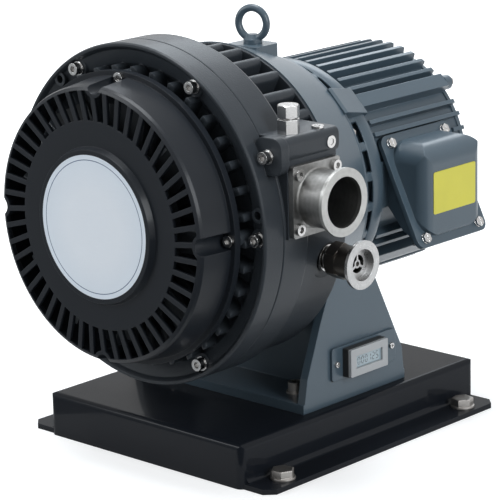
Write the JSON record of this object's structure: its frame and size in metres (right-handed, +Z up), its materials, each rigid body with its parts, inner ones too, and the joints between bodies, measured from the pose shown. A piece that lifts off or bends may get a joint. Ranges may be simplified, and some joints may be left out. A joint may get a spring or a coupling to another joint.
{
  "type": "dry scroll vacuum pump",
  "caption": "Motor-driven dry scroll vacuum pump on a pedestal and folded base, with fan-cooled scroll stage, clamp-flange inlet and exhaust, hour meter and lifting eye.",
  "frame": {"origin": "floor point at the middle of the base plate's four fixing holes, straight under the pump axis", "axes": "+Z up, the pump axis runs along Y with the fan cover towards -Y and the motor towards +Y, and both ports face +X"},
  "size_m": [0.32, 0.374, 0.3653],
  "materials": {
    "base_black": "satin black powder coat",
    "housing_paint": "blue-grey machine paint",
    "casting_grey": "dark anodised cast aluminium",
    "cover_black": "charcoal satin coat on pressed sheet",
    "label_silver": "pale brushed plate",
    "bright_steel": "polished stainless",
    "zinc_steel": "dull plated steel",
    "stainless_port": "blasted stainless with a turned rim",
    "bare_alloy": "machined aluminium",
    "bronze_dark": "dark bronze",
    "bearing_steel": "ground bearing steel",
    "shaft_steel": "ground steel",
    "seal_black": "black elastomer",
    "seal_white": "filled fluoropolymer strip",
    "fan_grey": "grey coated fan",
    "spider_red": "red elastomer",
    "stator_iron": "varnished laminations and windings",
    "rotor_iron": "laminated iron",
    "meter_black": "black plastic",
    "meter_bezel": "light grey plastic",
    "meter_window": "grey display window"
  },
  "bodies": {
    "root": {"base_plate": "base_black", "bearing_housing": "housing_paint", "pedestal_bolts": "zinc_steel", "eye_bolt": "housing_paint", "hour_meter_plate": "housing_paint", "hour_meter_body": "meter_black", "hour_meter_bezel": "meter_bezel", "hour_meter_window": "meter_window", "hour_meter_screws": "bright_steel", "rear_fixed_scroll": "casting_grey", "front_fixed_scroll": "casting_grey", "fixed_tip_seals": "seal_white", "casing_seal": "seal_black", "casing_bolts": "bright_steel", "front_bearing": "bearing_steel", "housing_bearings": "bearing_steel", "shaft_seals": "seal_black", "fixed_crank_bearings": "bearing_steel", "fan_cover": "cover_black", "fan_cover_screws": "bright_steel", "label_plate": "label_silver", "inlet_port": "stainless_port", "inlet_screws": "bright_steel", "inlet_seal": "seal_black", "exhaust_nipple": "bright_steel", "exhaust_valve_body": "bronze_dark", "exhaust_port": "bright_steel", "valve_spring": "bright_steel", "vent_fitting": "bright_steel", "vent_cap": "bright_steel", "port_block_screws": "bright_steel", "motor_bracket": "housing_paint", "bracket_screws": "zinc_steel", "motor_frame": "housing_paint", "motor_rear_cover": "housing_paint", "stator": "stator_iron", "motor_bearings": "bearing_steel", "tie_bolts": "zinc_steel", "terminal_box": "housing_paint", "terminal_block": "meter_black", "box_gasket": "seal_black", "box_cover": "housing_paint", "box_cover_screws": "bright_steel"},
    "shaft": {"crankshaft": "shaft_steel", "counterweights": "zinc_steel", "cooling_fan": "fan_grey", "fan_bolt": "bright_steel", "pump_coupling_hub": "zinc_steel", "coupling_spider": "spider_red", "motor_coupling_hub": "zinc_steel", "rotor": "rotor_iron"},
    "orbiter": {"orbiting_scroll": "bare_alloy", "orbiting_tip_seals": "seal_white", "crank_pin_bearing": "bearing_steel", "orbiting_crank_bearings": "bearing_steel"},
    "guide_crank_1": {"guide_crank_1": "shaft_steel"},
    "guide_crank_2": {"guide_crank_2": "shaft_steel"},
    "guide_crank_3": {"guide_crank_3": "shaft_steel"},
    "valve": {"valve_poppet": "bronze_dark"}
  },
  "joints": [
    {"name": "shaft_spin", "type": "hinge", "parent": "root", "child": "shaft", "pos_m": [0, 0, 0.211], "axis": [0, 1, 0], "continuous": true},
    {"name": "orbit_spin", "type": "hinge", "parent": "shaft", "child": "orbiter", "pos_m": [0.0052, -0.1045, 0.211], "axis": [0, 1, 0], "continuous": true},
    {"name": "guide_spin_1", "type": "hinge", "parent": "root", "child": "guide_crank_1", "pos_m": [0, -0.09, 0.3195], "axis": [0, 1, 0], "continuous": true},
    {"name": "guide_spin_2", "type": "hinge", "parent": "root", "child": "guide_crank_2", "pos_m": [-0.09396, -0.09, 0.15675], "axis": [0, 1, 0], "continuous": true},
    {"name": "guide_spin_3", "type": "hinge", "parent": "root", "child": "guide_crank_3", "pos_m": [0.09396, -0.09, 0.15675], "axis": [0, 1, 0], "continuous": true},
    {"name": "exhaust_valve_lift", "type": "slide", "parent": "root", "child": "valve", "axis": [1, 0, 0], "range_m": [0, 0.0025], "stiffness_N_per_m": 300, "springref_m": -0.002, "deforming": ["valve_spring"]}
  ],
  "couplings": [
    {"joint": "orbit_spin", "follows": "shaft_spin", "ratio": -1},
    {"joint": "guide_spin_1", "follows": "shaft_spin", "ratio": 1},
    {"joint": "guide_spin_2", "follows": "shaft_spin", "ratio": 1},
    {"joint": "guide_spin_3", "follows": "shaft_spin", "ratio": 1}
  ]
}
